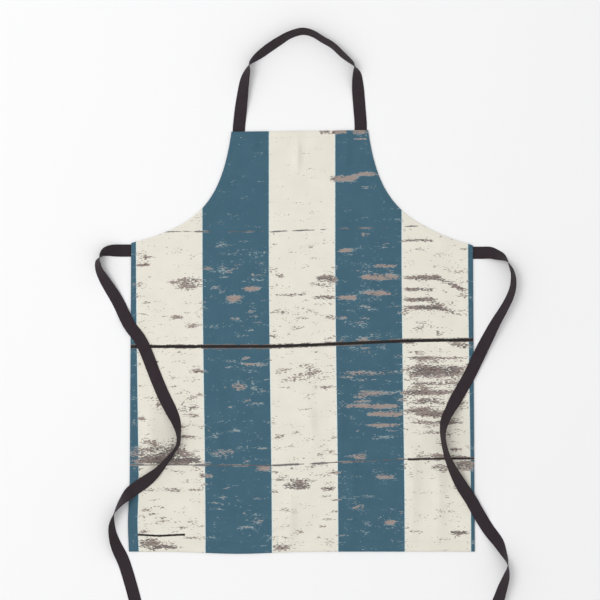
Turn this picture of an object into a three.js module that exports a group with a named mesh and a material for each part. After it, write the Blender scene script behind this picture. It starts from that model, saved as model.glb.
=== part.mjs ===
// Butcher apron laid out flat, face up: one cut panel of printed cloth with turned hems, a neck strap
// sewn to the bib and two long waist ties of woven tape. Millimetres, +Z up, +Y towards the bib.
// The origin is under the middle of the panel and neck loop together, on the surface they lie on.
import * as THREE from "three";

// Cut of the panel
const panelLength = 855; // top of the bib to bottom of the skirt
const bibWidth = 277;
const armpitWidth = 694; // across the skirt, straight under the armholes
const skirtWidth = 702; // across the bottom edge
const armholeDepth = 228;
const armholeTopPull = { out: 20, down: 142 }; // curve handle at the bib corner
const armholeSidePull = { in: 140.5, up: 35 }; // curve handle at the armpit
const bibLean = -4.6; // the bib lies this far to one side of the skirt's middle
const clothThickness = 0.8;

// Turned edges
const edgeInset = 0.6; // a turned hem stays this far inside the cut edge
const sideHemWidth = 12;
const armholeHemWidth = 9;
const bibHemWidth = 18;
const skirtHemWidth = 25;
const hemThickness = 0.8;

// Tape
const tapeWidth = 25;
const tapeThickness = 1;
const sewnLength = 25; // tape held under the panel at each root
const rootRun = 34; // length of each tie from the side edge to where it lifts
const loopHeight = 210; // neck loop above the top of the bib
const strapInset = 14.5; // middle of each strap leg to the bib corner
const tieLength = 1000; // side edge to free end
const tieEndFold = 12; // turned end of each tie

// Thread
const threadWidth = 0.8;
const threadThickness = 0.4;
const stitchInset = 5; // seam line to the inner edge of its hem
const tackAcross = 18; // box of stitches that holds each tape, across and along the tape
const tackAlong = 9;

const gap = 0.3; // between pieces that touch
const cutGap = 0.8; // between a fixed tape end and the tape that lifts from it

// Heights, from the surface up: sewn tape ends, turned hems, cloth, thread
const hemBase = tapeThickness + gap;
const clothBase = hemBase + hemThickness + gap;
const clothTop = clothBase + clothThickness;
const threadBase = clothTop + gap;
const overPanel = threadBase + threadThickness + gap; // a tie that crosses the panel lies here
const stepOut = { start: 16, end: 40 }; // a tie comes down to the surface this far outside the edge

// Places
const bottomY = -(panelLength + loopHeight) / 2;
const bibTopY = bottomY + panelLength;
const armpitY = bibTopY - armholeDepth;

const materials = {
  cloth: new THREE.MeshStandardMaterial({ color: "#8ea3a6", roughness: 0.75, metalness: 0 }),
  tape: new THREE.MeshStandardMaterial({ color: "#372a31", roughness: 0.7, metalness: 0 }),
  thread: new THREE.MeshStandardMaterial({ color: "#ece9dc", roughness: 0.6, metalness: 0 }),
};

const apron = new THREE.Group();

function add(name, geometry, finish) {
  const mesh = new THREE.Mesh(geometry, materials[finish].clone());
  mesh.name = name;
  apron.add(mesh);
}

function sideX(y) {
  const share = (armpitY - y) / (armpitY - bottomY);
  return THREE.MathUtils.lerp(armpitWidth, skirtWidth, THREE.MathUtils.clamp(share, 0, 1)) / 2;
}

function bibCorner(side) {
  return new THREE.Vector3(bibLean + (side * bibWidth) / 2, bibTopY, 0);
}

function armhole(side) {
  const top = bibCorner(side);
  const armpit = new THREE.Vector3((side * armpitWidth) / 2, armpitY, 0);
  const { out, down } = armholeTopPull;
  return new THREE.CubicBezierCurve3(
    top,
    new THREE.Vector3(top.x + side * out, top.y - down, 0),
    new THREE.Vector3(armpit.x - side * armholeSidePull.in, armpit.y + armholeSidePull.up, 0),
    armpit,
  );
}

// Cuts each cell of a box's lower face along the same diagonal as the upper face's, so that the two
// stay parallel where a thin strip twists. A cell's six corners run a, b, d, b, c, d.
function matchDiagonals(box) {
  const corners = box.index.array;
  const { start, count } = box.groups[5];
  for (let i = start; i < start + count; i += 6) {
    const [a, b, d, , c] = corners.slice(i, i + 6);
    corners.set([a, b, c, a, c, d], i);
  }
}

// A flat strip bent along a plan curve between two lengths. roll(t) turns its width out of the
// horizontal, in degrees about the curve, and rest(point) is the height its lowest edge lies at.
function strip(curve, { from = 0, to, width, thickness, steps = 1, roll = () => 0, rest, raise = 0 }) {
  curve.arcLengthDivisions = 2000;
  const total = curve.getLength();
  const span = (to ?? total) - from;
  const geometry = new THREE.BoxGeometry(span, width, thickness, steps, steps > 1 ? 2 : 1, 1);
  matchDiagonals(geometry);
  const corners = geometry.attributes.position;
  const corner = new THREE.Vector3();
  for (let i = 0; i < corners.count; i += 1) {
    corner.fromBufferAttribute(corners, i);
    const share = THREE.MathUtils.clamp((from + span / 2 + corner.x) / total, 0, 1);
    const t = Math.min(curve.getUtoTmapping(share), 1);
    const centre = curve.getPoint(t);
    const ahead = curve.getTangent(t).setZ(0).normalize();
    const angle = THREE.MathUtils.degToRad(roll(t));
    const across = new THREE.Vector3(-ahead.y, ahead.x, 0).multiplyScalar(Math.cos(angle));
    across.z = Math.sin(angle);
    const normal = ahead.clone().cross(across);
    const half = (width * Math.abs(Math.sin(angle)) + thickness * Math.abs(Math.cos(angle))) / 2;
    centre.z = rest(centre) + half;
    centre.addScaledVector(across, corner.y).addScaledVector(normal, corner.z + raise);
    corners.setXYZ(i, centre.x, centre.y, centre.z);
  }
  geometry.computeVertexNormals();
  return geometry;
}

function line(x0, y0, x1, y1) {
  return new THREE.LineCurve3(new THREE.Vector3(x0, y0, 0), new THREE.Vector3(x1, y1, 0));
}

// The armhole edge moved into the cloth, from under the bib hem to beside the side hem
function insideArmhole(side, inset) {
  const edge = armhole(side);
  const points = [];
  for (let t = 0; t <= 1; t += 1 / 48) {
    const point = edge.getPoint(t);
    const ahead = edge.getTangent(t);
    point.x += side * ahead.y * inset;
    point.y -= side * ahead.x * inset;
    const underBib = point.y < bibTopY - bibHemWidth - gap - armholeHemWidth / 4;
    const besideHem = Math.abs(point.x) < armpitWidth / 2 - sideHemWidth - armholeHemWidth / 2;
    if (underBib && besideHem) points.push(point);
  }
  return new THREE.CatmullRomCurve3(points);
}

// Panel
const outline = new THREE.Shape();
outline.moveTo(-skirtWidth / 2, bottomY);
outline.lineTo(skirtWidth / 2, bottomY);
outline.lineTo(armpitWidth / 2, armpitY);
const right = armhole(1);
outline.bezierCurveTo(right.v2.x, right.v2.y, right.v1.x, right.v1.y, right.v0.x, right.v0.y);
const left = armhole(-1);
outline.lineTo(left.v0.x, left.v0.y);
outline.bezierCurveTo(left.v1.x, left.v1.y, left.v2.x, left.v2.y, left.v3.x, left.v3.y);
outline.closePath();
const panel = new THREE.ExtrudeGeometry(outline, {
  depth: clothThickness, bevelEnabled: false, curveSegments: 24,
});
panel.translate(0, 0, clothBase);
add("apron_panel", panel, "cloth");

// Hems turned under the bib, sides and armholes, and the deeper, thicker skirt hem
const hem = { thickness: hemThickness, rest: () => hemBase };
const thread = { width: threadWidth, thickness: threadThickness, rest: () => threadBase };

const bibHemY = bibTopY - edgeInset - bibHemWidth / 2;
const bibHemHalf = bibWidth / 2 - edgeInset;
const bibLine = (y, half) => line(bibLean - half, y, bibLean + half, y);
add("bib_hem", strip(bibLine(bibHemY, bibHemHalf), { ...hem, width: bibHemWidth }), "cloth");
const bibSeamY = bibHemY - bibHemWidth / 2 + stitchInset;
add("bib_hem_stitch", strip(bibLine(bibSeamY, bibHemHalf - stitchInset), thread), "thread");

const skirtHemY = bottomY + edgeInset + skirtHemWidth / 2;
const skirtHalf = sideX(bottomY + skirtHemWidth) - edgeInset;
const skirtLine = (y, half) => line(-half, y, half, y);
add("skirt_hem", strip(skirtLine(skirtHemY, skirtHalf), {
  width: skirtHemWidth, thickness: clothBase - gap, rest: () => 0,
}), "cloth");
const skirtSeamY = skirtHemY + skirtHemWidth / 2 - stitchInset;
add("skirt_hem_stitch", strip(skirtLine(skirtSeamY, skirtHalf - sideHemWidth), thread), "thread");

const sideSlope = (skirtWidth - armpitWidth) / 2 / (armpitY - bottomY);
for (const [sideName, side] of [["left", -1], ["right", 1]]) {
  const low = bottomY + edgeInset + skirtHemWidth + gap + (sideHemWidth / 2) * Math.abs(sideSlope);
  const high = armpitY - 2 * edgeInset;
  const sideLine = (inset) => line(side * (sideX(low) - inset), low, side * (sideX(high) - inset), high);
  const hemMiddle = edgeInset + sideHemWidth / 2;
  add(`side_hem_${sideName}`, strip(sideLine(hemMiddle), { ...hem, width: sideHemWidth }), "cloth");
  const seam = edgeInset + sideHemWidth - stitchInset;
  add(`side_hem_stitch_${sideName}`, strip(sideLine(seam), thread), "thread");

  const middle = insideArmhole(side, edgeInset + armholeHemWidth / 2);
  add(`armhole_hem_${sideName}`, strip(middle, { ...hem, width: armholeHemWidth, steps: 36 }), "cloth");
  const armholeSeam = insideArmhole(side, edgeInset + armholeHemWidth - stitchInset / 2);
  add(`armhole_stitch_${sideName}`, strip(armholeSeam, { ...thread, steps: 48 }), "thread");
}

// A box of stitches through the panel and the tape end under it
function tack(name, x, y, sizeX, sizeY) {
  const rectangle = (path, inset) => {
    const [halfX, halfY] = [sizeX / 2 - inset, sizeY / 2 - inset];
    return path.moveTo(-halfX, -halfY).lineTo(halfX, -halfY).lineTo(halfX, halfY).lineTo(-halfX, halfY);
  };
  const box = rectangle(new THREE.Shape(), 0);
  box.holes.push(rectangle(new THREE.Path(), threadWidth));
  const geometry = new THREE.ExtrudeGeometry(box, { depth: threadThickness, bevelEnabled: false });
  geometry.translate(x, y, threadBase);
  add(name, geometry, "thread");
}

// Tape routes are plan points with the roll of the tape at each: [x, y, roll]. The roll stays
// continuous along the tape, so a twist never unwinds.
function route(points, originY) {
  const curve = new THREE.CatmullRomCurve3(
    points.map(([x, y]) => new THREE.Vector3(x, originY + y, 0)), false, "centripetal",
  );
  const rolls = new THREE.CatmullRomCurve3(
    points.map(([, , roll]) => new THREE.Vector3(roll, 0, 0)), false, "catmullrom", 0.5,
  );
  return { curve, roll: (t) => rolls.getPoint(t).x };
}

const tape = { width: tapeWidth, thickness: tapeThickness };

// Neck strap: x from the nearer strap leg, y from the top of the bib. The loop lies on the surface,
// rolled up on its outer edge round the crown and pinched flat at both shoulders.
const neckPoints = [
  [-0.1, -25, 0], [-0.1, 0, 0], [-0.1, 16, 0], [1.5, 40, -8], [3, 63, -30], [8.5, 104, -48],
  [14, 122, -68], [18.5, 135, -90], [28, 146, -112], [44, 158, -126], [63, 170, -130],
  [83.5, 184, -129], [103, 196, -124],
  [-118.5, 204, -118], [-98, 199.5, -117], [-78, 186, -116], [-57.5, 174, -113], [-37, 155.5, -108],
  [-23, 143.5, -100], [-13.5, 133, -90], [-8, 117.5, -48], [-6.5, 99.5, -25], [-5, 79, -5],
  [-2, 42, 0], [0, 14, 0], [0, 0, 0], [0, -25, 0],
];
const firstRightPoint = neckPoints.findIndex(([x]) => x < -100);
const legs = [-1, 1].map((side) => bibCorner(side).x - side * strapInset);
const placedNeck = neckPoints.map(([x, y, roll], i) => [legs[i < firstRightPoint ? 0 : 1] + x, y, roll]);
const neck = route(placedNeck, bibTopY);
neck.curve.arcLengthDivisions = 2000;
const neckLength = neck.curve.getLength();
const onSurface = { ...tape, roll: neck.roll, rest: () => 0 };
add("neck_strap_end_left", strip(neck.curve, { ...onSurface, to: sewnLength }), "tape");
add("neck_strap", strip(neck.curve, {
  ...onSurface, from: sewnLength + cutGap, to: neckLength - sewnLength - cutGap, steps: 72,
}), "tape");
add("neck_strap_end_right", strip(neck.curve, { ...onSurface, from: neckLength - sewnLength }), "tape");
const strapTackY = (bibTopY + bibSeamY) / 2;
legs.forEach((x, i) => {
  tack(`neck_strap_tack_${["left", "right"][i]}`, x, strapTackY, tackAcross, tackAlong);
});

// Waist ties: x outwards from the side edge, y from the root, both as laid. Each turns down beside
// the skirt on its edge, crosses the panel and comes off it again.
const ties = [
  {
    name: "left", side: -1, rootDrop: 15, points: [
      [-25, 0, 0], [0, 0, 0], [20, 0, -4], [36, 0, -16], [45, -0.8, -32], [52.5, -3.5, -49],
      [60, -9, -78], [62, -12.5, -90], [67.5, -22.5, -118], [65, -39, -132], [55, -58.5, -150],
      [29.5, -100.5, -175], [4, -151.5, -180], [-19.5, -184, -180], [-52, -263.5, -180],
      [-65, -294, -182], [-80, -323.5, -200], [-91.5, -348, -228], [-97, -374.5, -254],
      [-95.5, -393.5, -255], [-87, -408, -255], [-72.5, -426.5, -245], [-52, -450, -225],
      [-28, -470, -190], [-4, -487, -180], [12.5, -502, -135], [26, -519, -109], [36, -538, -90],
      [39, -557.5, -68], [37, -577, -55], [30.5, -599.5, -35], [16.5, -632, -5], [3, -675, 0],
      [-7, -712, 0], [-19, -764, 0],
    ],
  },
  {
    name: "right", side: 1, rootDrop: 19.5, points: [
      [-25, 0, 0], [0, 0, 0], [20, 0, -2], [36, 0, -14], [47, -3.5, -30], [60, -8.5, -50],
      [69, -16, -75], [74, -25.5, -90], [80, -39.5, -100], [82, -55.5, -108], [80.5, -72, -114],
      [75, -89.5, -120], [64, -111.5, -125], [45.5, -143.5, -138], [28.5, -177, -155],
      [12, -210.5, -172], [-7, -250, -180], [-28.5, -288, -178], [-46, -318, -140],
      [-57.5, -342, -128], [-61.5, -365, -112], [-58.5, -390.5, -110], [-51, -417, -118],
      [-38.5, -444.5, -137], [-21.5, -475, -162], [-3, -503.5, -178], [13, -532, -180],
      [33.5, -564.5, -185], [52, -589, -205], [62.5, -609.5, -235], [70, -627.5, -257],
      [71, -640, -270], [68, -656.5, -291], [60, -681, -311], [52, -707, -327], [41, -738, -350],
      [30, -772, -360],
    ],
  },
];
const runOutStep = 100; // the unseen end of a tie runs straight on, by steps, past its listed points

for (const { name, side, rootDrop, points } of ties) {
  const placed = points.map(([x, y, roll]) => [side * (armpitWidth / 2 + x), y, roll]);
  const rootY = armpitY - rootDrop;
  const [x0, y0] = placed[placed.length - 2];
  const [x1, y1, lastRoll] = placed[placed.length - 1];
  const stride = runOutStep / Math.hypot(x1 - x0, y1 - y0);
  const runOuts = Math.ceil(tieLength / 2 / runOutStep);
  for (let i = 1; i <= runOuts; i += 1) {
    placed.push([x1 + i * stride * (x1 - x0), y1 + i * stride * (y1 - y0), lastRoll]);
  }
  const laid = route(placed, rootY);
  const rest = ({ x, y }) => {
    if (y > rootY - tapeWidth) return 0;
    const outside = Math.abs(x) - sideX(y);
    return overPanel * (1 - THREE.MathUtils.smoothstep(outside, stepOut.start, stepOut.end));
  };
  const laidTape = { ...tape, roll: laid.roll, rest };
  const root = sewnLength + rootRun;
  const end = sewnLength + tieLength;
  add(`waist_tie_${name}_root`, strip(laid.curve, { ...laidTape, to: root, steps: 6 }), "tape");
  const free = { ...laidTape, from: root + cutGap, to: end, steps: 72 };
  add(`waist_tie_${name}`, strip(laid.curve, free), "tape");
  add(`waist_tie_${name}_end_hem`, strip(laid.curve, {
    ...laidTape, from: end - tieEndFold, to: end, steps: 2, raise: tapeThickness + gap,
  }), "tape");
  const tackX = sideX(rootY) - (sewnLength + edgeInset + sideHemWidth - stitchInset) / 2;
  tack(`waist_tie_${name}_tack`, side * tackX, rootY, tackAlong, tackAcross);
}

export default apron;
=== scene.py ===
import math
import bmesh
import bpy
import numpy as np
from mathutils import Matrix, Vector


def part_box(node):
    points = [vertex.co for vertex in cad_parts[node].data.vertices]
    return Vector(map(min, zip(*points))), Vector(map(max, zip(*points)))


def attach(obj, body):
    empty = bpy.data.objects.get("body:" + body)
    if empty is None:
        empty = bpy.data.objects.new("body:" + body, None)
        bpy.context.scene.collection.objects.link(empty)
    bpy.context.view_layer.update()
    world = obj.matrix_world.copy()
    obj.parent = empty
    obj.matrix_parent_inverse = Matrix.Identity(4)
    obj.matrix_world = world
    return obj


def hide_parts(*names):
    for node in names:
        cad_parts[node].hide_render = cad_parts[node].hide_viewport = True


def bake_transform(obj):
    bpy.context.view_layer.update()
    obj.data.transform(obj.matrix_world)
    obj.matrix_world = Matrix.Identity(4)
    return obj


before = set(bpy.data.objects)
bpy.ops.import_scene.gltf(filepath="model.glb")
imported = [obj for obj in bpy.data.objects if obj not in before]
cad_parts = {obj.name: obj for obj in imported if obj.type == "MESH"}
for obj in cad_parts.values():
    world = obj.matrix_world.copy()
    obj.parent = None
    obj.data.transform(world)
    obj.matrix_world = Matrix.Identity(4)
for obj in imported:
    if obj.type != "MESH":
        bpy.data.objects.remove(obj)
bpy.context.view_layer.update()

mm = 0.001


def smooth(value, low, high):
    share = np.clip((np.asarray(value, float) - low) / (high - low), 0, 1)
    return share * share * (3 - 2 * share)


def linear(red, green, blue):
    channel = lambda c: c / 12.92 if c <= 0.04045 else ((c + 0.055) / 1.055) ** 2.4
    return (*[channel(c / 255) for c in (red, green, blue)], 1)


# Camera, floor and light
studio = {
    "centre": (-0.0041, -0.0211), "height": 3.2, "lens": 94.3,
    "floorSize": 60, "floorDrop": 0.0003, "floorColour": (244, 244, 245),
    "skyStrength": 0.80, "keyPower": 62, "keySize": 2.2, "keyPlace": (-2.3, 0.7, 3.9),
}


def aimLight(name, power, size, place):
    lamp = bpy.data.lights.new(name, "AREA")
    lamp.energy = power
    lamp.size = size
    holder = bpy.data.objects.new(name, lamp)
    bpy.context.collection.objects.link(holder)
    holder.location = place
    holder.rotation_euler = (-Vector(place)).to_track_quat("-Z", "Y").to_euler()


def buildStudio():
    view = bpy.data.objects.new("view", bpy.data.cameras.new("view"))
    bpy.context.collection.objects.link(view)
    view.location = (*studio["centre"], studio["height"])
    view.data.lens = studio["lens"]
    bpy.context.scene.camera = view
    bpy.context.scene.view_settings.view_transform = "Standard"
    sky = bpy.data.worlds.new("sky")
    sky.use_nodes = True
    sky.node_tree.nodes["Background"].inputs["Color"].default_value = (1, 1, 1, 1)
    sky.node_tree.nodes["Background"].inputs["Strength"].default_value = studio["skyStrength"]
    bpy.context.scene.world = sky
    aimLight("key", studio["keyPower"], studio["keySize"], studio["keyPlace"])
    shape = bmesh.new()
    bmesh.ops.create_grid(shape, x_segments=1, y_segments=1, size=studio["floorSize"] / 2)
    bmesh.ops.translate(shape, verts=shape.verts, vec=(0, 0, -studio["floorDrop"]))
    floor = finishMesh("floor", shape, [paperFinish()])


def finishMesh(name, shape, finishes, shadeSmooth=True):
    mesh = bpy.data.meshes.new(name)
    for face in shape.faces:
        face.smooth = shadeSmooth
    shape.to_mesh(mesh)
    shape.free()
    piece = bpy.data.objects.new(name, mesh)
    bpy.context.collection.objects.link(piece)
    for finish in finishes:
        mesh.materials.append(finish)
    return piece


# Node graph helpers
def newFinish(name, roughness, sheen=0.0):
    finish = bpy.data.materials.new(name)
    finish.use_nodes = True
    tree = finish.node_tree
    skin = tree.nodes["Principled BSDF"]
    skin.inputs["Roughness"].default_value = roughness
    skin.inputs["Sheen Weight"].default_value = sheen

    def put(kind, *sockets, inputs=None, **settings):
        node = tree.nodes.new("ShaderNode" + kind)
        for key, value in settings.items():
            setattr(node, key, value)
        for key, value in [*enumerate(sockets), *(inputs or {}).items()]:
            if isinstance(value, bpy.types.NodeSocket):
                tree.links.new(value, node.inputs[key])
            else:
                node.inputs[key].default_value = value
        return node

    return finish, tree, skin, put


def calculator(put):
    def work(operation, *values):
        return put("Math", *values, operation=operation).outputs[0]

    def ramp(value, low, high):
        return put("MapRange", value, low, high, 0.0, 1.0, interpolation_type="SMOOTHSTEP").outputs[0]

    def blendColour(share, first, second):
        mix = put("Mix", data_type="RGBA", inputs={0: share, 6: first, 7: second})
        return mix.outputs[2]

    def grain(vector, scale, detail=3.0):
        return put("TexNoise", inputs={"Vector": vector, "Scale": scale, "Detail": detail}).outputs["Fac"]

    return work, ramp, blendColour, grain


def weaveHeight(put, work, place, pitch):
    parts = put("SeparateXYZ", place).outputs
    turn = 2 * math.pi / pitch
    warp = work("SINE", work("MULTIPLY", parts[0], turn))
    weft = work("SINE", work("MULTIPLY", parts[1], turn))
    return work("MULTIPLY", warp, weft)


def addBump(tree, skin, put, height, distance, strength=0.6):
    bump = put("Bump", inputs={"Height": height, "Distance": distance, "Strength": strength})
    tree.links.new(bump.outputs[0], skin.inputs["Normal"])


def paperFinish():
    finish, tree, skin, put = newFinish("paper", 0.9)
    blendColour, grain = calculator(put)[2:]
    place = put("TexCoord").outputs["Object"]
    pale = linear(*studio["floorColour"])
    tint = blendColour(grain(place, 3.0), pale, tuple(0.99 * c for c in pale[:3]) + (1,))
    tree.links.new(tint, skin.inputs["Base Color"])
    return finish


# Cut of the panel
cloth = {
    "bibWidth": 0.277, "armpitWidth": 0.694, "armholeDepth": 0.228, "bibLean": -0.0046,
    "topOut": 0.020, "topDown": 0.142, "sideIn": 0.1405, "sideUp": 0.035,
    "bibHem": 0.018, "skirtHem": 0.025, "sideHem": 0.012, "armholeHem": 0.009,
    "columns": 170, "skirtRows": 156, "bibRows": 78, "thickness": 0.0005,
    "foldOut": 0.0006, "plyDrop": 0.0014, "flatHeight": 0.0011, "hemLift": 0.0016,
    "rootLift": 0.0006, "rootReach": 0.03, "weavePitch": 0.0009,
    "curlReach": (0.012, 0.038), "foldEndShare": 0.35, "unevenRise": 0.00035,
}
panelLow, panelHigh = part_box("apron_panel")
bottomY = panelLow[1]
bibTopY = panelHigh[1]
skirtHalf = panelHigh[0]
armpitHalf = cloth["armpitWidth"] / 2
armpitY = bibTopY - cloth["armholeDepth"]
tapeWidth = 0.025
sewnLength = 0.025
strapInset = 0.0145
legX = [cloth["bibLean"] + side * (cloth["bibWidth"] / 2 - strapInset) for side in (-1, 1)]
tieRootY = [armpitY - 0.015, armpitY - 0.0195]


def sideX(y):
    share = np.clip((armpitY - y) / (armpitY - bottomY), 0, 1)
    return armpitHalf + (skirtHalf - armpitHalf) * share


def armhole(side, t):
    topX = cloth["bibLean"] + side * cloth["bibWidth"] / 2
    handles = [
        (topX, bibTopY),
        (topX + side * cloth["topOut"], bibTopY - cloth["topDown"]),
        (side * (armpitHalf - cloth["sideIn"]), armpitY + cloth["sideUp"]),
        (side * armpitHalf, armpitY),
    ]
    weights = [(1 - t) ** 3, 3 * t * (1 - t) ** 2, 3 * t * t * (1 - t), t**3]
    return sum(np.multiply.outer(w, h) for w, h in zip(weights, handles))


def armholeShares(count):
    t = np.linspace(0, 1, 801)
    steps = np.hypot(*np.diff(armhole(1, t), axis=0).T)
    travelled = np.concatenate([[0], np.cumsum(steps)])
    return np.interp(np.linspace(0, travelled[-1], count + 1), travelled, t)


def cutOutline():
    t = armholeShares(60)
    right = armhole(1, t)
    left = armhole(-1, t)
    corners = [[-skirtHalf, bottomY], [skirtHalf, bottomY]]
    return np.concatenate([corners, right[::-1], left])


outline = cutOutline()


def edgeDistance(x, y):
    points = np.stack([np.ravel(x), np.ravel(y)], 1)
    ends = np.roll(outline, -1, axis=0) - outline
    lengths = np.maximum((ends**2).sum(1), 1e-12)
    result = np.empty(len(points))
    for first in range(0, len(points), 4000):
        block = points[first:first + 4000, None, :] - outline[None]
        share = np.clip((block * ends).sum(2) / lengths, 0, 1)
        gapVector = block - share[..., None] * ends
        result[first:first + 4000] = np.sqrt((gapVector**2).sum(2).min(1))
    return result.reshape(np.shape(x))


def isInside(x, y):
    half = sideX(y)
    inSkirt = (np.abs(x) < half) & (y > bottomY) & (y <= armpitY)
    t = np.linspace(0, 1, 200)
    right, left = armhole(1, t), armhole(-1, t)
    edgeRight = np.interp(y, right[::-1, 1], right[::-1, 0])
    edgeLeft = np.interp(y, left[::-1, 1], left[::-1, 0])
    inBib = (y > armpitY) & (y < bibTopY) & (x < edgeRight) & (x > edgeLeft)
    return inSkirt | inBib


# Soft folds of the laid cloth: start x, y, end x, y, height and width, in metres
clothFolds = [
    (-0.010, 0.315, -0.010, 0.240, 0.0067, 0.008), (-0.090, 0.320, -0.104, 0.285, 0.0067, 0.010),
    (0.092, 0.300, 0.086, 0.235, 0.0036, 0.009), (-0.170, -0.200, -0.172, -0.480, 0.0049, 0.013),
    (0.012, -0.225, 0.022, -0.315, 0.0072, 0.012), (-0.026, -0.415, -0.024, -0.520, 0.0077, 0.012),
    (0.225, -0.330, 0.223, -0.510, 0.0063, 0.013), (0.277, -0.360, 0.279, -0.500, 0.0058, 0.012),
    (0.075, -0.130, 0.078, -0.430, 0.0040, 0.013), (0.101, -0.300, 0.099, -0.510, 0.0049, 0.012),
    (-0.310, -0.240, -0.308, -0.470, 0.0049, 0.014), (0.140, 0.080, 0.128, -0.100, 0.0032, 0.018),
]


def clothHeight(x, y):
    x, y = np.asarray(x, float), np.asarray(y, float)
    inside = edgeDistance(x, y)
    height = cloth["flatHeight"] + cloth["hemLift"] * (1 - smooth(inside, *cloth["curlReach"]))
    roots = [(x0, bibTopY) for x0 in legX] + [(-armpitHalf, tieRootY[0]), (armpitHalf, tieRootY[1])]
    for rootX, rootY in roots:
        near = ((x - rootX) ** 2 + (y - rootY) ** 2) / cloth["rootReach"] ** 2
        height = height + cloth["rootLift"] * np.exp(-near)
    for x0, y0, x1, y1, rise, width in clothFolds:
        run = np.array([x1 - x0, y1 - y0])
        share = ((x - x0) * run[0] + (y - y0) * run[1]) / (run @ run)
        near = np.clip(share, 0, 1)
        apart = (x - x0 - near * run[0]) ** 2 + (y - y0 - near * run[1]) ** 2
        fade = cloth["foldEndShare"] + (1 - cloth["foldEndShare"]) * np.sin(math.pi * near)
        height = height + rise * fade * np.exp(-apart / width**2) * smooth(inside, 0.0, 0.03)
    uneven = np.sin(31 * x + 5 * y) * np.sin(23 * y - 4 * x + 1) + 0.5 * np.sin(67 * x - 20 * y)
    return height + cloth["unevenRise"] * (1 + uneven) * smooth(inside, 0.002, 0.03)


def clothShift(x, y):
    shiftX = -0.003 * np.exp(-(((y + 0.475) / 0.05) ** 2)) * smooth(-x, 0.2, 0.34)
    sag = -0.0045 * np.exp(-(((x + 0.13) / 0.09) ** 2)) * smooth(-y, 0.36, 0.53)
    tilt = 0.012 * (x - cloth["bibLean"]) * smooth(y, 0.22, 0.32)
    droop = -0.0045 * smooth(x, 0.22, 0.345) * np.exp(-(((y - armpitY) / 0.05) ** 2))
    return x + shiftX, y + sag + tilt + droop


def laidPoint(x, y, above=0.0):
    newX, newY = clothShift(x, y)
    return Vector((float(newX), float(newY), float(clothHeight(x, y)) + above))


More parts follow.
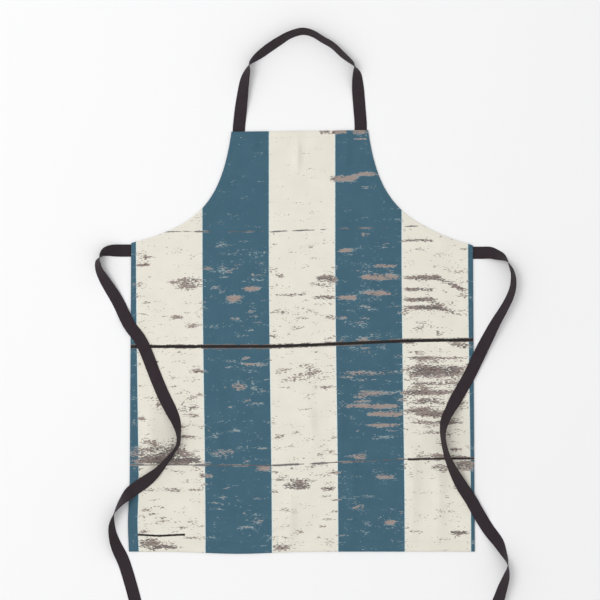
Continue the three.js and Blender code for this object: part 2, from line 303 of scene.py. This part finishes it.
# Worn print: gap lines across the cloth, as points of x and y, and the largest worn marks
gapLines = {
    "upperGap": [(-0.35, 0.118), (-0.06, 0.118), (0.065, 0.123), (0.232, 0.1295), (0.36, 0.130)],
    "middleGap": [(-0.36, -0.116), (-0.06, -0.1155), (0.067, -0.1105), (0.21, -0.1045), (0.36, -0.102)],
    "lowerGap": [(-0.36, -0.356), (-0.06, -0.358), (0.057, -0.352), (0.213, -0.345), (0.36, -0.343)],
    "cornerGap": [(-0.3315, -0.4985), (-0.29, -0.501), (-0.2375, -0.4975)],
}
wornMarks = {      # x, y, half length, half height, strength; x and y in metres, sizes in millimetres
    "bib": [
        (0.077, 0.3195, 16, 5, 1.15), (0.1175, 0.3195, 18, 5, 1.15), (0.045, 0.3205, 14, 4, 0.85),
        (0.12, 0.305, 14, 3, 1.0), (0.084, 0.2265, 30, 6, 1.15), (0.13, 0.2345, 26, 4, 1.1),
        (0.138, 0.2085, 20, 3, 0.6), (0.128, 0.112, 11, 4, 0.8),
    ],
    "waist": [
        (0.17, 0.0485, 30, 3, 0.9), (0.16, 0.0255, 42, 6, 0.95), (0.16, -0.007, 38, 5, 0.75),
        (0.0875, 0.080, 15, 4, 0.9), (0.093, -0.016, 20, 5, 1.0), (0.238, 0.1005, 34, 3, 0.8),
        (0.27, 0.024, 60, 6, 1.0), (0.237, 0.001, 32, 4, 1.0), (0.237, -0.020, 35, 4, 0.95),
        (0.25, -0.036, 45, 5, 0.95), (0.304, -0.033, 32, 4, 0.65), (-0.237, 0.012, 32, 13, 0.55),
        (-0.137, -0.018, 18, 7, 1.0), (-0.104, 0.002, 20, 5, 0.85), (-0.137, -0.059, 10, 3, 0.8),
        (0.050, 0.022, 23, 8, 1.0), (0.046, 0.012, 30, 8, 0.6), (-0.03, -0.011, 36, 3, 0.75),
        (-0.05, -0.046, 15, 4, 0.85), (0.045, -0.0165, 23, 4, 0.85), (-0.254, -0.0565, 15, 4, 0.65),
    ],
    "skirt": [
        (0.27, -0.165, 62, 13, 0.88), (0.273, -0.164, 25, 11, 0.95), (0.138, -0.170, 65, 6, 0.65),
        (0.322, -0.114, 24, 6, 0.85), (0.258, -0.209, 50, 6, 0.95), (0.258, -0.2265, 22, 7, 0.8),
        (0.145, -0.211, 42, 5, 0.7), (0.145, -0.237, 58, 3, 0.9), (0.245, -0.247, 35, 5, 0.9),
        (0.27, -0.2545, 38, 5, 0.9), (0.169, -0.2535, 37, 5, 0.9), (0.275, -0.270, 65, 3, 0.9),
        (0.167, -0.2755, 34, 4, 1.0), (0.262, -0.138, 54, 2, 0.9), (-0.29, -0.335, 62, 20, 0.84),
        (-0.275, -0.347, 74, 9, 1.1), (-0.130, -0.198, 16, 8, 0.8), (-0.094, -0.1525, 32, 4, 0.6),
        (-0.16, -0.331, 30, 10, 0.6), (0.003, -0.172, 60, 18, 0.45), (0.118, -0.340, 14, 8, 0.85),
        (0.29, -0.340, 44, 5, 0.7), (-0.312, -0.310, 20, 12, 0.6), (0.272, -0.205, 66, 75, 0.42),
        (0.272, -0.192, 62, 3, 0.8), (0.255, -0.290, 52, 3, 0.7), (0.270, -0.232, 64, 3, 0.75),
    ],
    "lower": [
        (-0.278, -0.406, 40, 5, 0.75), (-0.310, -0.518, 20, 12, 0.72), (-0.285, -0.523, 46, 3, 0.85),
        (-0.080, -0.363, 17, 6, 0.85), (-0.012, -0.387, 46, 3, 0.8), (-0.010, -0.399, 28, 8, 1.0),
        (0.053, -0.4045, 15, 4, 0.9), (0.168, -0.381, 20, 6, 0.75), (0.1785, -0.473, 13, 4, 1.0),
        (0.281, -0.363, 18, 8, 0.72), (0.332, -0.357, 20, 10, 0.75), (0.318, -0.494, 20, 5, 0.95),
        (-0.194, -0.378, 19, 3, 0.8), (-0.04, -0.520, 19, 8, 0.5),
    ],
}
scatter = {"seed": 11, "count": 420, "length": (3, 16), "height": (1.5, 3.4), "strength": (0.35, 0.72)}


def grainDrop(x, y):
    near = smooth(y, -0.075, -0.045) * (1 - smooth(y, 0.035, 0.06))
    return 0.45 * np.maximum(x - 0.275, 0) * near


def wornShare(x, y):
    y = y + grainDrop(x, y)
    random = np.random.default_rng(scatter["seed"])
    marks = [mark for group in wornMarks.values() for mark in group]
    for place in range(scatter["count"]):
        spot = (random.uniform(-0.34, 0.34), random.uniform(-0.52, 0.10))
        ranges = (scatter["length"], scatter["height"], scatter["strength"])
        marks.append((*spot, *[random.uniform(*limits) for limits in ranges]))
    worn = np.zeros(len(x))
    for markX, markY, halfLength, halfHeight, strength in marks:
        along = np.abs(x - markX) / (halfLength * mm)
        across = np.abs(y - markY) / (halfHeight * mm)
        worn = np.maximum(worn, strength * (1 - smooth(along**2.5 + across**2, 0.25, 1.9)))
    return worn


stripes = {"width": 0.1351, "start": 0.33775, "lean": 0.0063, "leanFrom": -0.094, "leanTo": 0.532}


def stripeWave(put, work, ramp, x, y, ragged):
    below = ramp(work("MULTIPLY", y, -1.0), stripes["leanFrom"], stripes["leanTo"])
    across = work("ADD", work("SUBTRACT", x, work("MULTIPLY", below, stripes["lean"])), ragged)
    return work("SINE", work("MULTIPLY", work("ADD", across, stripes["start"]), math.pi / stripes["width"]))


printLook = {
    "roughness": 0.86, "sheen": 0.02, "flatten": (1.0, 3.4, 1.0), "fine": (165.0, 5.0), "broad": (26.0, 4.0),
    "cluster": (11.0, 3.0), "mottle": (26.0, 5.0), "edgeScale": 420.0, "edgeRagged": 0.0016,
    "blue": ((50, 89, 108), (63, 102, 119)), "cream": ((224, 219, 205), (237, 234, 222)),
    "edgeTint": (214, 228, 227), "streakOnCream": ((106, 99, 97), (150, 137, 130)),
    "deepStreak": (94, 80, 75), "streakOnBlue": ((138, 156, 162), (156, 141, 134)),
    "markShare": 0.82, "bibCalm": 0.07,
    "fineShare": 2.5, "broadShare": 1.9, "wornFrom": (0.50, 0.57), "deepFrom": (0.95, 1.25),
    "lumpScale": 38.0, "lumpShare": 4.0, "weaveShare": 0.3, "bumpDepth": 0.00045,
}


def printedFinish():
    look = printLook
    tints = {name: [linear(*colour) for colour in look[name]]
             for name in ("blue", "cream", "streakOnCream", "streakOnBlue")}
    finish, tree, skin, put = newFinish("printedCloth", look["roughness"], look["sheen"])
    work, ramp, blendColour, grain = calculator(put)
    read = lambda name: put("Attribute", attribute_name=name)
    place = read("cut").outputs["Vector"]
    x, y = put("SeparateXYZ", place).outputs[:2]
    stretched = put("VectorMath", place, look["flatten"], operation="MULTIPLY").outputs[0]
    fine = grain(stretched, *look["fine"])
    broad = grain(stretched, *look["broad"])
    cluster = grain(place, *look["cluster"])
    mottled = grain(place, *look["mottle"])
    edgeNoise = work("SUBTRACT", grain(place, look["edgeScale"]), 0.5)
    ragged = work("MULTIPLY", edgeNoise, look["edgeRagged"])
    band = stripeWave(put, work, ramp, x, y, ragged)
    isCream = ramp(band, -0.006, 0.006)
    blue = blendColour(mottled, *tints["blue"])
    cream = blendColour(mottled, *tints["cream"])
    halo = work("MULTIPLY", isCream, work("SUBTRACT", 1.0, ramp(band, 0.02, 0.055)))
    base = blendColour(isCream, blue, cream)
    base = blendColour(halo, base, linear(*look["edgeTint"]))
    below = ramp(work("MULTIPLY", y, -1.0), -0.24, -0.04)
    patchy = work("MULTIPLY", ramp(cluster, 0.44, 0.66), work("ADD", work("MULTIPLY", below, 0.16), 0.05))
    marked = work("MULTIPLY", read("worn").outputs["Fac"], look["markShare"])
    calm = work("MULTIPLY", work("SUBTRACT", below, 1.0), look["bibCalm"])
    worn = work("ADD", work("ADD", marked, patchy), calm)
    noisy = work("ADD", worn, work("MULTIPLY", work("SUBTRACT", fine, 0.5), look["fineShare"]))
    noisy = work("ADD", noisy, work("MULTIPLY", work("SUBTRACT", broad, 0.5), look["broadShare"]))
    patch = ramp(noisy, *look["wornFrom"])
    deep = ramp(noisy, *look["deepFrom"])
    onCream = blendColour(ramp(broad, 0.42, 0.6), *tints["streakOnCream"])
    onCream = blendColour(deep, onCream, linear(*look["deepStreak"]))
    tan = ramp(work("ADD", worn, work("SUBTRACT", fine, 0.5)), 0.30, 0.75)
    onBlue = blendColour(tan, *tints["streakOnBlue"])
    base = blendColour(patch, base, blendColour(isCream, onBlue, onCream))

    def drawGap(base, name, core, fringe, colours, low=-1.0, high=1.0, broken=0.0, coreBroken=0.0):
        clean = work("ABSOLUTE", read(name).outputs["Fac"])
        wobble = work("SUBTRACT", fine, 0.5)
        away = work("ADD", clean, work("MULTIPLY", wobble, fringe * 1.6))
        within = work("MULTIPLY", work("GREATER_THAN", x, low), work("LESS_THAN", x, high))
        spread = work("SUBTRACT", 1.0, ramp(away, fringe * 0.6, fringe))
        spread = work("MULTIPLY", spread, ramp(broad, broken, broken + 0.06))
        base = blendColour(work("MULTIPLY", spread, within), base, colours[1])
        inner = work("ADD", clean, work("MULTIPLY", wobble, core * 0.5))
        middle = work("SUBTRACT", 1.0, ramp(inner, core * 0.85, core))
        middle = work("MULTIPLY", middle, ramp(broad, coreBroken, coreBroken + 0.06))
        return blendColour(work("MULTIPLY", middle, within), base, colours[0])

    black = linear(22, 17, 15)
    brown = linear(116, 103, 99)
    ash, chalk, umber = linear(96, 91, 92), linear(140, 141, 142), linear(98, 87, 82)
    base = drawGap(base, "upperGap", 0.0008, 0.0020, (ash, chalk), broken=0.50, coreBroken=0.43)
    base = drawGap(base, "middleGap", 0.0033, 0.0056, (black, brown), broken=0.42)
    base = drawGap(base, "lowerGap", 0.0009, 0.0028, (umber, chalk), broken=0.47, coreBroken=0.36)
    base = drawGap(base, "lowerGap", 0.0016, 0.0034, (black, brown), low=0.215, broken=0.40)
    base = drawGap(base, "cornerGap", 0.0019, 0.0026, (black, brown), low=-0.3315, high=-0.2375)
    tree.links.new(base, skin.inputs["Base Color"])
    rough = put("MapRange", fine, 0.3, 0.7, 0.74, 0.90).outputs[0]
    tree.links.new(rough, skin.inputs["Roughness"])
    weave = weaveHeight(put, work, place, cloth["weavePitch"])
    lumps = work("MULTIPLY", grain(place, look["lumpScale"], 4.0), look["lumpShare"])
    lumps = work("ADD", work("MULTIPLY", weave, look["weaveShare"]), lumps)
    addBump(tree, skin, put, lumps, look["bumpDepth"])
    return finish


def backFinish():
    finish, tree, skin, put = newFinish("clothBack", 0.86, 0.02)
    work, ramp, blendColour, grain = calculator(put)
    place = put("Attribute", attribute_name="cut").outputs["Vector"]
    white = blendColour(grain(place, 40.0, 4.0), linear(226, 226, 221), linear(240, 240, 236))
    slub = blendColour(ramp(grain(place, 600.0), 0.62, 0.72), white, linear(208, 210, 208))
    tree.links.new(slub, skin.inputs["Base Color"])
    weave = weaveHeight(put, work, place, cloth["weavePitch"])
    addBump(tree, skin, put, weave, 0.0002)
    return finish


def edgeOfRow(rowT, y):
    if rowT is None:
        return -float(sideX(y)), float(sideX(y))
    return float(armhole(-1, rowT)[0]), float(armhole(1, rowT)[0])


def armholeOut(side, t):
    ahead = armhole(side, min(t + 0.002, 1)) - armhole(side, max(t - 0.002, 0))
    across = Vector((-side * ahead[1], side * ahead[0], 0)).normalized()
    return across if across.x * side > 0 else -across


def buildPanel():
    skirtYs = np.linspace(bottomY, armpitY, cloth["skirtRows"] + 1)
    shares = armholeShares(cloth["bibRows"])[::-1][1:]
    rows = [(y, None) for y in skirtYs] + [(float(armhole(1, t)[1]), t) for t in shares]
    shape = bmesh.new()
    bmesh.ops.create_grid(shape, x_segments=cloth["columns"], y_segments=len(rows) - 1, size=1)
    flat = shape.verts.layers.float_vector.new("cut")
    turned = {}
    keyOf = lambda place: (round(place.x * 2e5), round(place.y * 2e5))
    for vertex in shape.verts:
        row = round((vertex.co.y + 1) / 2 * (len(rows) - 1))
        share = (vertex.co.x + 1) / 2
        y, t = rows[row]
        leftX, rightX = edgeOfRow(t, y)
        side = -1 if share < 1e-4 else 1 if share > 1 - 1e-4 else 0
        atX = leftX + share * (rightX - leftX)
        vertex.co = (atX, y, 0)
        vertex[flat] = vertex.co
        atEnd = -1 if row == 0 else 1 if row == len(rows) - 1 else 0
        if not side and not atEnd:
            continue
        sideways = armholeOut(side, t) if side and t is not None else Vector((side, 0, 0))
        if side and atEnd:
            outward, width = sideways + Vector((0, atEnd, 0)), 0.0
        elif atEnd:
            toCorner = min(atX - leftX, rightX - atX)
            ownHem, nextHem = ("bibHem", "armholeHem") if atEnd > 0 else ("skirtHem", "sideHem")
            outward = Vector((0, atEnd, 0))
            width = cloth[ownHem] * min(1, toCorner / cloth[nextHem])
        else:
            outward = sideways
            ownHem = "sideHem" if t is None else "armholeHem"
            low = abs(y - bottomY) / cloth["skirtHem"]
            top = abs(bibTopY - y) / cloth["bibHem"]
            width = cloth[ownHem] * min(1, low, top)
        turned[keyOf(vertex.co)] = (vertex.co.copy(), outward, width)
    rings = [
        (cloth["foldOut"], cloth["plyDrop"] / 2, 0.0), (0.0, cloth["plyDrop"], 0.0),
        (0.0, cloth["plyDrop"], 0.5), (0.0, cloth["plyDrop"], 1.0),
    ]
    edges = [edge for edge in shape.edges if edge.is_boundary]
    known = dict(turned)
    for out, drop, share in rings:
        grown = bmesh.ops.extrude_edge_only(shape, edges=edges)["geom"]
        moved = {}
        for vertex in [item for item in grown if isinstance(item, bmesh.types.BMVert)]:
            start, outward, width = known[keyOf(vertex.co)]
            vertex.co = start + outward * (out - width * share) - Vector((0, 0, drop))
            vertex[flat] = start + outward * (0.0015 + width * share)
            moved[vertex] = (start, outward, width)
        edges = [item for item in grown if isinstance(item, bmesh.types.BMEdge)]
        known = {keyOf(vertex.co): entry for vertex, entry in moved.items()}
    plan = np.array([vertex.co for vertex in shape.verts])
    heights = clothHeight(plan[:, 0], plan[:, 1])
    shiftedX, shiftedY = clothShift(plan[:, 0], plan[:, 1])
    for i, vertex in enumerate(shape.verts):
        vertex.co = (shiftedX[i], shiftedY[i], heights[i] + plan[i, 2])
    bmesh.ops.recalc_face_normals(shape, faces=shape.faces)
    shape.normal_update()
    middle = min(shape.faces, key=lambda face: face.calc_center_median().length)
    if middle.normal.z < 0:
        bmesh.ops.reverse_faces(shape, faces=shape.faces)
    panel = finishMesh("printedPanel", shape, [printedFinish(), backFinish()])
    readings = np.empty(len(panel.data.vertices) * 3)
    panel.data.attributes["cut"].data.foreach_get("vector", readings)
    cutX, cutY = readings.reshape(-1, 3)[:, 0], readings.reshape(-1, 3)[:, 1]
    worn = panel.data.attributes.new("worn", "FLOAT", "POINT")
    worn.data.foreach_set("value", wornShare(cutX, cutY).astype(np.float32))
    for name, points in gapLines.items():
        lineX, lineY = np.array(points).T
        away = (cutY - np.interp(cutX, lineX, lineY)).astype(np.float32)
        panel.data.attributes.new(name, "FLOAT", "POINT").data.foreach_set("value", away)
    wall = panel.modifiers.new("wall", "SOLIDIFY")
    wall.thickness = cloth["thickness"]
    wall.offset = -1
    wall.material_offset = 1
    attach(panel, "panel")
    hems = ["bib_hem", "skirt_hem", "side_hem_left", "side_hem_right"]
    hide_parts("apron_panel", *hems, "armhole_hem_left", "armhole_hem_right")
    return panel


def cutArea():
    x, y = outline.T
    face = abs(np.sum(x * np.roll(y, -1) - y * np.roll(x, -1))) / 2
    armholeLength = np.hypot(*np.diff(armhole(1, np.linspace(0, 1, 200)), axis=0).T).sum()
    hems = cloth["bibHem"] * cloth["bibWidth"] + cloth["skirtHem"] * skirtHalf * 2
    hems += 2 * cloth["sideHem"] * (armpitY - bottomY) + 2 * cloth["armholeHem"] * armholeLength
    return float(face + hems)


# Tape routes as plan points in metres with the roll of the tape, in degrees, at each
neckLeft = [
    (-0.0001, -0.025, 0), (-0.0001, 0, 0), (0.001, 0.016, 0), (0.0036, 0.040, -6),
    (0.0064, 0.063, -19), (0.0125, 0.104, -40), (0.0176, 0.122, -61), (0.0218, 0.1355, -90),
    (0.0325, 0.146, -111), (0.0465, 0.157, -124), (0.064, 0.170, -128), (0.084, 0.183, -125),
    (0.103, 0.194, -118),
]
neckRight = [
    (-0.1185, 0.2015, -115), (-0.098, 0.197, -113), (-0.078, 0.185, -112), (-0.0575, 0.173, -112),
    (-0.0375, 0.1545, -111), (-0.0235, 0.1425, -103), (-0.0135, 0.133, -90), (-0.008, 0.1175, -48),
    (-0.0065, 0.0995, -25), (-0.005, 0.079, -5), (-0.002, 0.042, 0), (0, 0.014, 0), (0, 0, 0),
    (0, -0.025, 0),
]
leftTie = [
    (-0.025, 0, 0), (0, 0, 0), (0.020, 0, -4), (0.036, 0, -16), (0.045, -0.0008, -32),
    (0.0525, -0.0035, -49), (0.060, -0.009, -78), (0.062, -0.0125, -90), (0.0675, -0.0225, -118),
    (0.065, -0.039, -132), (0.055, -0.0585, -150), (0.0295, -0.1005, -175), (0.004, -0.1515, -180),
    (-0.0195, -0.184, -180), (-0.052, -0.2635, -180), (-0.065, -0.294, -182), (-0.080, -0.3235, -200),
    (-0.0915, -0.348, -228), (-0.097, -0.3745, -254), (-0.0955, -0.3935, -255), (-0.087, -0.408, -255),
    (-0.0725, -0.4265, -245), (-0.052, -0.450, -225), (-0.028, -0.470, -190), (-0.004, -0.487, -180),
    (0.0125, -0.502, -135), (0.026, -0.519, -109), (0.036, -0.538, -90), (0.039, -0.5575, -68),
    (0.037, -0.577, -55), (0.0305, -0.5995, -35), (0.0165, -0.632, -5), (0.003, -0.675, 0),
    (-0.007, -0.712, 0), (-0.019, -0.764, 0),
]
rightTie = [
    (-0.025, 0, 0), (0, 0, 0), (0.020, 0, -2), (0.036, 0, -14), (0.047, -0.0035, -30),
    (0.060, -0.0085, -50), (0.069, -0.016, -75), (0.074, -0.0255, -90), (0.080, -0.0395, -100),
    (0.082, -0.0555, -108), (0.0805, -0.072, -114), (0.075, -0.0895, -120), (0.064, -0.1115, -125),
    (0.0455, -0.1435, -138), (0.0285, -0.177, -155), (0.012, -0.2105, -172), (-0.007, -0.250, -180),
    (-0.0285, -0.288, -178), (-0.046, -0.318, -140), (-0.0575, -0.342, -128), (-0.0615, -0.365, -112),
    (-0.0585, -0.3905, -110), (-0.051, -0.417, -118), (-0.0385, -0.4445, -137),
    (-0.0215, -0.475, -162), (-0.003, -0.5035, -178), (0.013, -0.532, -180), (0.0335, -0.5645, -185),
    (0.052, -0.589, -205), (0.0625, -0.6095, -235), (0.070, -0.6275, -257), (0.071, -0.640, -270),
    (0.068, -0.6565, -291), (0.060, -0.681, -311), (0.052, -0.707, -327), (0.041, -0.738, -350),
    (0.030, -0.772, -360),
]
tape = {
    "thickness": 0.0009, "station": 0.0035, "across": 6, "clearance": 0.0006, "tieLength": 1.0,
    "endFold": 0.012, "foldRaise": 0.0011, "runOut": 0.1, "runOutSteps": 5, "edgeRound": 0.00025,
    "twillPitch": 0.0016, "yarnPitch": 0.0008, "zigzag": 0.004,
}


def hermite(p1, p2, m1, m2, w):
    w = w[:, None]
    return p1 + m1 * w + (3 * (p2 - p1) - 2 * m1 - m2) * w**2 + (2 * (p1 - p2) + m1 + m2) * w**3


def followRoute(points, length=None):
    values = np.array(points, float)
    values = np.vstack([2 * values[0] - values[1], values, 2 * values[-1] - values[-2]])
    spots, rolls = values[:, :2], values[:, 2:]
    weights = np.linspace(0, 1, 40, endpoint=False)
    placed, turned = [], []
    for i in range(1, len(values) - 2):
        p = spots[i - 1:i + 3]
        before, own, after = [math.sqrt(np.hypot(*(p[k + 1] - p[k]))) for k in range(3)]
        m1 = ((p[1] - p[0]) / before - (p[2] - p[0]) / (before + own) + (p[2] - p[1]) / own) * own
        m2 = ((p[2] - p[1]) / own - (p[3] - p[1]) / (own + after) + (p[3] - p[2]) / after) * own
        placed.append(hermite(p[1], p[2], m1, m2, weights))
        r = rolls[i - 1:i + 3]
        turned.append(hermite(r[1], r[2], (r[2] - r[0]) / 2, (r[3] - r[1]) / 2, weights))
    placed = np.vstack([*placed, spots[-2:-1]])
    turned = np.vstack([*turned, rolls[-2:-1]])[:, 0]
    travelled = np.concatenate([[0], np.cumsum(np.hypot(*np.diff(placed, axis=0).T))])
    total = min(length or travelled[-1], travelled[-1])
    along = np.linspace(0, total, round(total / tape["station"]) + 1)
    x, y = [np.interp(along, travelled, column) for column in placed.T]
    roll = np.radians(np.interp(along, travelled, turned))
    ahead = np.stack([np.gradient(x, along), np.gradient(y, along)], 1)
    return along, x, y, roll, ahead / np.hypot(*ahead.T)[:, None]


def overCloth(x, y, ahead, roll, rootY):
    reach = np.linspace(-0.5, 0.5, 7)[:, None] * tapeWidth * np.cos(roll)
    sampleX, sampleY = x - ahead[:, 1] * reach, y + ahead[:, 0] * reach
    rest = np.where(isInside(sampleX, sampleY), clothHeight(sampleX, sampleY) + tape["clearance"], 0)
    rest = np.where(y > rootY - tapeWidth, 0, rest.max(0))
    window = 3
    padded = np.pad(rest, window, mode="edge")
    rest = np.array([padded[i:i + 2 * window + 1].max() for i in range(len(rest))])
    kernel = np.hanning(9) / np.hanning(9).sum()
    return np.convolve(np.pad(rest, 4, mode="edge"), kernel, mode="valid")


def stripMesh(name, finish, route, rest, first, last, raised=0.0):
    along, x, y, roll, ahead = route
    chosen = np.linspace(first, last, max(round((last - first) / tape["station"]), 3) + 1)
    at = lambda column: np.interp(chosen, along, column)
    middleX, middleY, roll, rest = at(x), at(y), at(roll), at(rest)
    ahead = np.stack([at(ahead[:, 0]), at(ahead[:, 1])], 1)
    ahead /= np.hypot(*ahead.T)[:, None]
    thick = tape["thickness"]
    half = (tapeWidth * np.abs(np.sin(roll)) + thick * np.abs(np.cos(roll))) / 2
    shape = bmesh.new()
    bmesh.ops.create_grid(shape, x_segments=len(chosen) - 1, y_segments=tape["across"], size=1)
    woven = shape.verts.layers.float_vector.new("woven")
    for vertex in shape.verts:
        i = round((vertex.co.x + 1) / 2 * (len(chosen) - 1))
        sideways = vertex.co.y * tapeWidth / 2
        level = math.cos(roll[i])
        across = Vector((-ahead[i, 1] * level, ahead[i, 0] * level, math.sin(roll[i])))
        normal = Vector((ahead[i, 0], ahead[i, 1], 0)).cross(across)
        centre = Vector((middleX[i], middleY[i], rest[i] + half[i]))
        vertex.co = centre + across * sideways + normal * raised
        vertex[woven] = (chosen[i], sideways, 0)
    strip = finishMesh(name, shape, [finish])
    wall = strip.modifiers.new("wall", "SOLIDIFY")
    wall.thickness = thick
    wall.offset = 0
    soften = strip.modifiers.new("soften", "BEVEL")
    soften.width = tape["edgeRound"]
    soften.segments = 2
    soften.limit_method = "ANGLE"
    return strip, np.stack([middleX, middleY, rest + half], 1)


def tapeFinish():
    finish, tree, skin, put = newFinish("wovenTape", 0.85, 0.02)
    work, ramp, blendColour, grain = calculator(put)
    place = put("Attribute", attribute_name="woven").outputs["Vector"]
    along, across = put("SeparateXYZ", place).outputs[:2]
    zigzag = work("PINGPONG", across, tape["zigzag"])
    twill = work("SINE", work("MULTIPLY", work("ADD", along, zigzag), 2 * math.pi / tape["twillPitch"]))
    thread = work("SINE", work("MULTIPLY", across, 2 * math.pi / tape["yarnPitch"]))
    height = work("ADD", twill, work("MULTIPLY", thread, 0.4))
    mottled = grain(place, 60.0, 4.0)
    dark = blendColour(mottled, linear(25, 13, 20), linear(44, 29, 37))
    tint = blendColour(ramp(height, -1.2, 1.2), dark, linear(40, 27, 34))
    fuzz = ramp(grain(place, 900.0), 0.66, 0.74)
    tree.links.new(blendColour(fuzz, tint, linear(65, 51, 58)), skin.inputs["Base Color"])
    tree.links.new(put("MapRange", mottled, 0.3, 0.7, 0.78, 0.92).outputs[0], skin.inputs["Roughness"])
    addBump(tree, skin, put, height, 0.00018)
    return finish


def buildNeck(finish):
    left = [(legX[0] + x, bibTopY + y, roll) for x, y, roll in neckLeft]
    right = [(legX[1] + x, bibTopY + y, roll) for x, y, roll in neckRight]
    route = followRoute(left + right)
    length = route[0][-1]
    strap, centres = stripMesh("neckStrap", finish, route, np.zeros(len(route[0])), 0, length)
    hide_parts("neck_strap", "neck_strap_end_left", "neck_strap_end_right")
    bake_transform(strap)
    return length


def buildTie(name, side, points, rootY, finish):
    placed = [(side * (armpitHalf + x), rootY + y, roll) for x, y, roll in points]
    lastX, lastY, lastRoll = placed[-1]
    run = Vector(placed[-1][:2]) - Vector(placed[-2][:2])
    for step in range(1, tape["runOutSteps"] + 1):
        ahead = run.normalized() * tape["runOut"] * step
        placed.append((lastX + ahead.x, lastY + ahead.y, lastRoll))
    length = sewnLength + tape["tieLength"]
    route = followRoute(placed, length)
    along, x, y, roll, ahead = route
    rest = overCloth(x, y, ahead, roll, rootY)
    tie, centres = stripMesh(f"waistTie{name.title()}", finish, route, rest, 0, length)
    ends = (length - tape["endFold"], length)
    fold = stripMesh(f"waistTieFold{name.title()}", finish, route, rest, *ends, tape["foldRaise"])[0]
    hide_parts(f"waist_tie_{name}", f"waist_tie_{name}_root")
    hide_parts(f"waist_tie_{name}_end_hem")
    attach(fold, f"{name}_tie")
    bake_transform(tie)


# Stitching
thread = {"pitch": 0.0036, "length": 0.0030, "radius": 0.0003, "seamInset": 0.005, "proud": 0.0001,
          "tackHalf": (0.009, 0.0045), "tackIn": 0.0163}


def threadFinish():
    finish, tree, skin, put = newFinish("thread", 0.7, 0.02)
    work, ramp, blendColour, grain = calculator(put)
    place = put("TexCoord").outputs["Object"]
    x, y = put("SeparateXYZ", place).outputs[:2]
    strands = grain(place, 1800.0, 2.0)
    isCream = ramp(stripeWave(put, work, ramp, x, y, 0.0), -0.006, 0.006)
    blue = blendColour(strands, linear(52, 90, 108), linear(70, 108, 124))
    cream = blendColour(strands, linear(214, 209, 195), linear(232, 228, 216))
    tree.links.new(blendColour(isCream, blue, cream), skin.inputs["Base Color"])
    addBump(tree, skin, put, strands, 0.0001)
    return finish


def sew(name, runs, finish, node, closed=False):
    shape = bmesh.new()
    for run in runs:
        points = np.array(run, float)
        if closed:
            points = np.vstack([points, points[:1]])
        travelled = np.concatenate([[0], np.cumsum(np.hypot(*np.diff(points, axis=0).T))])
        count = max(round(travelled[-1] / thread["pitch"]), 1)
        middles = (np.arange(count) + 0.5) * travelled[-1] / count
        for middle in middles:
            ends = [middle - thread["length"] / 2, middle + thread["length"] / 2]
            ends = [[np.interp(e, travelled, column) for column in points.T] for e in ends]
            for above in (thread["proud"], -cloth["plyDrop"] - thread["proud"]):
                first, last = [laidPoint(*end, above) for end in ends]
                turn = (last - first).to_track_quat("X", "Z").to_matrix().to_4x4()
                size = Matrix.Diagonal((thread["length"] / 2, thread["radius"], thread["radius"], 1))
                place = Matrix.Translation((first + last) / 2) @ turn @ size
                bmesh.ops.create_uvsphere(shape, u_segments=5, v_segments=4, radius=1, matrix=place)
    seam = finishMesh(name, shape, [finish])
    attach(seam, "panel")
    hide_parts(node)


def boxAt(x, y, halfX, halfY):
    return [(x - halfX, y - halfY), (x + halfX, y - halfY), (x + halfX, y + halfY), (x - halfX, y + halfY)]


def buildStitching():
    finish = threadFinish()
    inset = thread["seamInset"]
    bibY = bibTopY - cloth["bibHem"] + inset
    bibHalf = cloth["bibWidth"] / 2 - inset
    lean = cloth["bibLean"]
    sew("bibSeam", [[(lean - bibHalf, bibY), (lean + bibHalf, bibY)]], finish, "bib_hem_stitch")
    skirtY = bottomY + cloth["skirtHem"] - inset
    skirtReach = skirtHalf - cloth["sideHem"]
    sew("skirtSeam", [[(-skirtReach, skirtY), (skirtReach, skirtY)]], finish, "skirt_hem_stitch")
    tackHalf = thread["tackHalf"]
    for name, side, rootY, x in (("left", -1, tieRootY[0], legX[0]), ("right", 1, tieRootY[1], legX[1])):
        sideInset = cloth["sideHem"] - inset
        low, high = bottomY + cloth["skirtHem"], armpitY - 0.001
        run = [(side * (float(sideX(y)) - sideInset), y) for y in (low, high)]
        sew(f"sideSeam{name.title()}", [run], finish, f"side_hem_stitch_{name}")
        hemIn = cloth["armholeHem"] - inset / 2
        run = []
        for t in armholeShares(60)[3:-2]:
            spot = Vector((*armhole(side, t), 0)) - armholeOut(side, t) * hemIn
            run.append((spot.x, spot.y))
        sew(f"armholeSeam{name.title()}", [run], finish, f"armhole_stitch_{name}")
        tackY = (bibTopY + bibY) / 2
        sew(f"neckTack{name.title()}", [boxAt(x, tackY, *tackHalf)], finish, f"neck_strap_tack_{name}", True)
        tackX = side * (float(sideX(rootY)) - thread["tackIn"])
        tieBox = boxAt(tackX, rootY, tackHalf[1], tackHalf[0])
        sew(f"tieTack{name.title()}", [tieBox], finish, f"waist_tie_{name}_tack", True)


buildStudio()
print("camera and floor ready")
tapeWoven = tapeFinish()
neckLength = buildNeck(tapeWoven)
buildTie("left", -1, leftTie, tieRootY[0], tapeWoven)
buildTie("right", 1, rightTie, tieRootY[1], tapeWoven)
print("tapes laid, neck strap", round(float(neckLength), 4))
panel = buildPanel()
cutArea()
print("panel laid, flat area", round(cutArea(), 4))
buildStitching()
print("stitching sewn")
